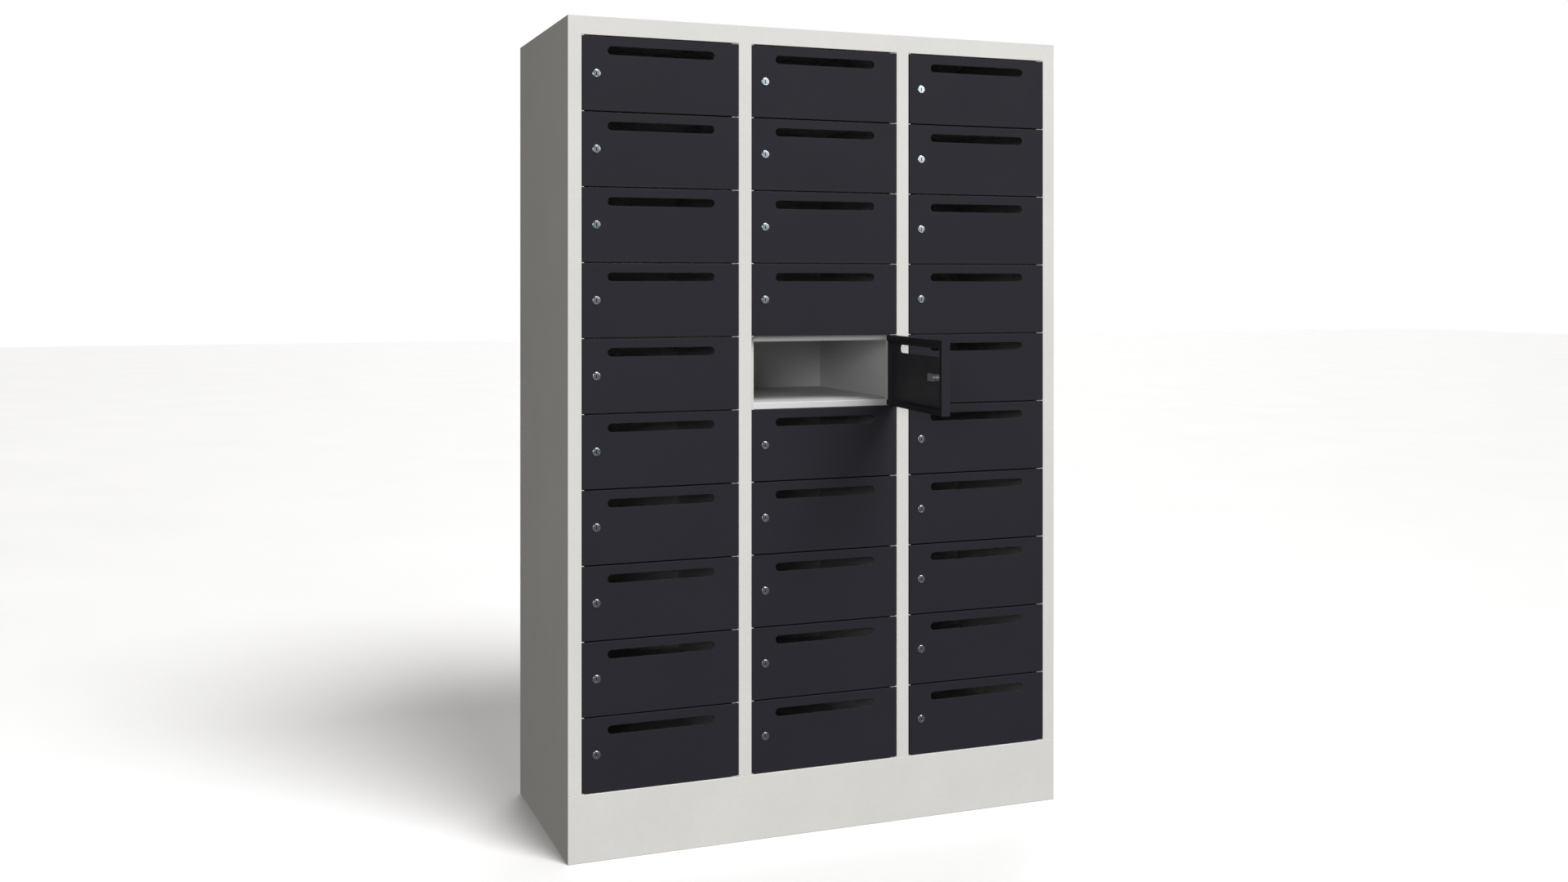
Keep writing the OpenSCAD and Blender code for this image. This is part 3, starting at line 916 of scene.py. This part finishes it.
class LOCKER_OT_locks(Operator):
    """Makes one cam lock (head, threaded barrel, nut, plug, cam and screw) and fits thirty of them"""

    bl_idname = "locker.locks"
    bl_label = "Cam locks"

    def execute(self, context):
        chrome, zinc = finish("chrome"), finish("zinc")
        body = Sheetwork()
        bore = PLUG_R + PLUG_PLAY
        front = -HEAD_T
        inner = (bore, front + 1.2)
        seat = (HEAD_R - SEAT, -SEAT)
        profile = [inner, (bore, front + 0.35), (bore + 0.15, front + 0.1), (bore + 0.45, front),
                   (HEAD_R - 1.5, front + 0.05), (HEAD_R - 0.8, front + 0.22), (HEAD_R - 0.3, front + 0.6),
                   (HEAD_R - 0.05, front + 1.1), (HEAD_R, front + 1.5), seat]
        body.turned(profile, 48, closed=False)
        body.finish = 1
        end = CAM_FRONT - 2 * SEAT
        thread = [seat, (BARREL_R, -SEAT), (BARREL_R, SHEET)]
        w = SHEET
        while w + THREAD_PITCH < end - SEAM:
            thread += [(BARREL_R - THREAD_DEPTH, w + THREAD_PITCH / 2), (BARREL_R, w + THREAD_PITCH)]
            w += THREAD_PITCH
        thread += [(BARREL_R - 0.4, end), (bore, end), inner]
        body.turned(thread, 48, closed=False)
        self.nut(body)
        housing = finished_mesh("lock_housing", body, [chrome, zinc], sharp=32)
        rotor = self.rotor()
        turning = finished_mesh("lock_rotor", rotor, [finish("nickel"), finish("keyway"), zinc], sharp=32)
        for column in COLUMNS:
            for row in ROWS:
                door = "door_%s_%02d" % (column, row)
                place = lock_place(column, row)
                ajar = column == "middle" and row == 5
                stands_for = ["lock_body_middle_05", "lock_nut_middle_05"] if ajar else []
                put("lock_%s_%02d_housing" % (column, row), housing, door, stands_for, place)
                own = "lock_rotor_middle_%02d" % row
                if column == "middle":
                    put("lock_middle_%02d_rotor" % row, turning, own, [own], place)
                else:
                    put("lock_%s_%02d_rotor" % (column, row), turning, door, [], place)
        return {"FINISHED"}

    def nut(self, body):
        """The hexagon nut that holds the barrel, with its corners turned off."""
        start = SHEET + SEAT
        corners = [math.radians(60 * k) for k in range(6)]
        turns = sorted(c + d for c in corners for d in (-0.14, 0.0, 0.14))
        rings = []
        for depth, trim in ((start, 1), (start + 0.5, 0), (start + NUT_T - 0.5, 0), (start + NUT_T, 1)):
            points = []
            for t in turns:
                off = (t + math.pi / 6) % (math.pi / 3) - math.pi / 6
                radius = NUT_AF / 2 / math.cos(math.pi / 6 - abs(off))
                if trim:
                    radius = min(radius, NUT_AF / 2 * 1.01)
                points.append((radius * math.cos(t), radius * math.sin(t)))
            rings.append(body.ring(points, depth))
        for near, far in zip(rings, rings[1:]):
            body.wall(near, far)
        inner = [body.ring(circle(BARREL_R + 0.1, 36), depth) for depth in (start, start + NUT_T)]
        body.wall(inner[0], inner[1], hole=True)
        body.lid(rings[0], [inner[0]])
        body.lid(rings[-1], [inner[1]], back=True)

    def rotor(self):
        """The plug with its keyway, the cam and the cross-head screw that holds it."""
        work = Sheetwork()
        front = -HEAD_T
        wide, tall, deep = KEYWAY
        back = CAM_FRONT - SEAT
        mouth_w = front + 0.05
        profile = [(PLUG_R - 0.35, mouth_w), (PLUG_R - 0.1, front + 0.15), (PLUG_R, front + 0.4),
                   (PLUG_R, back), (2.1, back)]
        rings = [work.ring(circle(r, 40), w) for r, w in profile]
        for near, far in zip(rings, rings[1:]):
            work.wall(near, far)
        work.lid(rings[-1], back=True)
        ease = 0.35
        across, up = wide / 2, tall / 2
        mouth = rounded(rectangle(-across - ease, -up - ease, across + ease, up + ease), [0.5] * 4, 3)
        throat = rounded(rectangle(-across, -up, across, up), [0.3] * 4, 3)
        edge, walls = work.ring(mouth, mouth_w), work.ring(throat, front + 0.4)
        floor = work.ring(throat, front + deep)
        work.lid(rings[0], [edge])
        work.wall(edge, walls, hole=True)
        # the keyway's walls and floor take the near-black finish: painted shade in the deep recess
        work.finish = 1
        work.wall(walls, floor, hole=True)
        work.lid(floor)
        work.finish = 2
        half = CAM_HALF_W
        turns = [math.radians(90 + 180 * k / 16) for k in range(17)]
        heel = [(half * math.cos(turn), half * math.sin(turn)) for turn in turns]
        shape = rectangle(0, -half, CAM_REACH, half)
        tip = rounded(shape, [0, 2.5, 2.5, 0], 4)[1:-1]
        washer = CAM_FRONT + CAM_T
        work.plate(heel + tip, CAM_FRONT, washer, 0.3)
        seat, top = washer + 0.56, SCREW_END
        work.turned([(2.2, washer + 0.02), (5.2, washer + 0.02), (5.4, washer + 0.2), (5.4, washer + 0.4),
                     (5.2, washer + 0.55), (2.2, seat)], 36)
        dome = [(4.0, seat), (4.0, washer + 0.9), (3.8, top - 0.7), (3.3, top - 0.25), (2.6, top)]
        rings = [work.ring(circle(r, 32), w) for r, w in dome]
        work.lid(rings[0])
        for near, far in zip(rings, rings[1:]):
            work.wall(near, far)
        arm, width = 2.0, 0.45
        quarter = [(width, -arm), (width, -width), (arm, -width)]
        cross = []
        for _ in range(4):
            cross += quarter
            quarter = [(-y, x) for x, y in quarter]
        lip = work.ring(cross, top)
        pit = work.ring([(x * 0.6, y * 0.6) for x, y in cross], top - 1.1)
        work.lid(rings[-1], [lip], back=True)
        work.wall(pit, lip, hole=True)
        work.lid(pit, back=True)
        return work


class LOCKER_OT_stage(Operator):
    """Lays the floor and sets the lights and the camera"""

    bl_idname = "locker.stage"
    bl_label = "Floor, lights and camera"

    def execute(self, context):
        scene = context.scene
        settings = scene.locker_stage
        self.floor(settings)
        self.lights(scene, settings)
        data = bpy.data.cameras.new("Camera")
        data.lens = settings.lens
        data.sensor_width = 36.0
        data.shift_y = -0.1003
        data.clip_end = 200.0
        camera = bpy.data.objects.new("Camera", data)
        camera.location = (-1.3463, -3.4868, settings.camera_height)
        camera.rotation_euler = (math.pi / 2, 0.0, -settings.camera_turn)
        scene.collection.objects.link(camera)
        scene.camera = camera
        scene.view_settings.view_transform = "Standard"
        return {"FINISHED"}

    def floor(self, settings):
        made, tree, surface, where = new_finish("Pale floor")
        colour = tuple(settings.floor_colour)
        darker = tuple(c * 0.97 for c in colour)
        clouds = between(tree, noise(tree, where, 1.5, 4.0), 0.0, 1.0)
        tree.links.new(blended(tree, clouds, (*colour, 1), (*darker, 1)), surface.inputs["Base Color"])
        tree.links.new(between(tree, noise(tree, where, 40.0), 0.55, 0.7), surface.inputs["Roughness"])
        pores = noise(tree, where, 300.0)
        grain = shader(tree, "ShaderNodeBump", {"Height": pores, "Strength": 0.05, "Distance": 0.0005})
        tree.links.new(grain.outputs[0], surface.inputs["Normal"])
        work = bmesh.new()
        bmesh.ops.create_grid(work, x_segments=8, y_segments=8, size=30.0)
        mesh = bpy.data.meshes.new("floor")
        work.to_mesh(mesh)
        work.free()
        mesh.materials.append(made)
        floor = bpy.data.objects.new("floor", mesh)
        floor.visible_diffuse = False
        floor.visible_glossy = False
        bpy.context.scene.collection.objects.link(floor)

    def lights(self, scene, settings):
        world = bpy.data.worlds.new("Studio")
        scene.world = world
        world.use_nodes = True
        tree = world.node_tree
        tree.nodes.clear()
        out = shader(tree, "ShaderNodeOutputWorld")
        path = shader(tree, "ShaderNodeLightPath")
        seen = shader(tree, "ShaderNodeBackground", {"Color": (1, 1, 1, 1), "Strength": 1.0})
        warm = {"Color": (1, 0.955, 0.915, 1), "Strength": settings.room_light}
        lit = shader(tree, "ShaderNodeBackground", warm)
        ends = {0: path.outputs["Is Camera Ray"], 1: lit.outputs[0], 2: seen.outputs[0]}
        both = shader(tree, "ShaderNodeMixShader", ends)
        tree.links.new(both.outputs[0], out.inputs["Surface"])
        for name, strength, angle, direction in (
            ("Key", settings.key_strength, 30, (-0.25, 0.62, -0.76)),
            ("Back_fill", settings.back_strength, 40, (-0.35, -0.75, -0.6)),
        ):
            data = bpy.data.lights.new(name, "SUN")
            data.energy = strength
            data.angle = math.radians(angle)
            light = bpy.data.objects.new(name, data)
            light.rotation_euler = Vector(direction).to_track_quat("-Z", "Y").to_euler()
            scene.collection.objects.link(light)
        for name, place, aim, size, power in (
            ("Softbox_right", (2.2, -4.2, 2.6), (0, 0, 0.9), 2.0, settings.softbox_power),
            ("Softbox_left", (-2.6, -4.6, 2.0), (0, 0, 0.9), 1.4, settings.softbox_power * 1.25),
        ):
            data = bpy.data.lights.new(name, "AREA")
            data.shape = "DISK"
            data.size = size
            data.energy = power
            light = bpy.data.objects.new(name, data)
            light.location = place
            light.rotation_euler = (Vector(aim) - Vector(place)).to_track_quat("-Z", "Y").to_euler()
            scene.collection.objects.link(light)


OPERATORS = (
    LOCKER_OT_stage,
    LOCKER_OT_front_frame,
    LOCKER_OT_carcass,
    LOCKER_OT_inside,
    LOCKER_OT_plinth,
    LOCKER_OT_hinges,
    LOCKER_OT_fixings,
    LOCKER_OT_doors,
    LOCKER_OT_locks,
)


class LOCKER_PT_pieces(Panel):
    """Lists what can be built and changed"""

    bl_idname = "LOCKER_PT_pieces"
    bl_label = "Parcel locker"
    bl_space_type = "VIEW_3D"
    bl_region_type = "UI"
    bl_category = "Locker"

    def draw(self, context):
        for name in SETTINGS:
            group = getattr(context.scene, name)
            box = self.layout.box()
            for key in group.__annotations__:
                box.prop(group, key)
        for kind in OPERATORS:
            self.layout.operator(kind.bl_idname)


def register():
    for kind in (*SETTINGS.values(), *OPERATORS, LOCKER_PT_pieces):
        bpy.utils.register_class(kind)
    for name, kind in SETTINGS.items():
        setattr(bpy.types.Scene, name, PointerProperty(type=kind))


def unregister():
    for name in SETTINGS:
        delattr(bpy.types.Scene, name)
    for kind in (LOCKER_PT_pieces, *reversed(OPERATORS), *SETTINGS.values()):
        bpy.utils.unregister_class(kind)


def main():
    register()
    for kind in OPERATORS:
        group, call = kind.bl_idname.split(".")
        getattr(getattr(bpy.ops, group), call)()


if __name__ == "__main__":
    main()
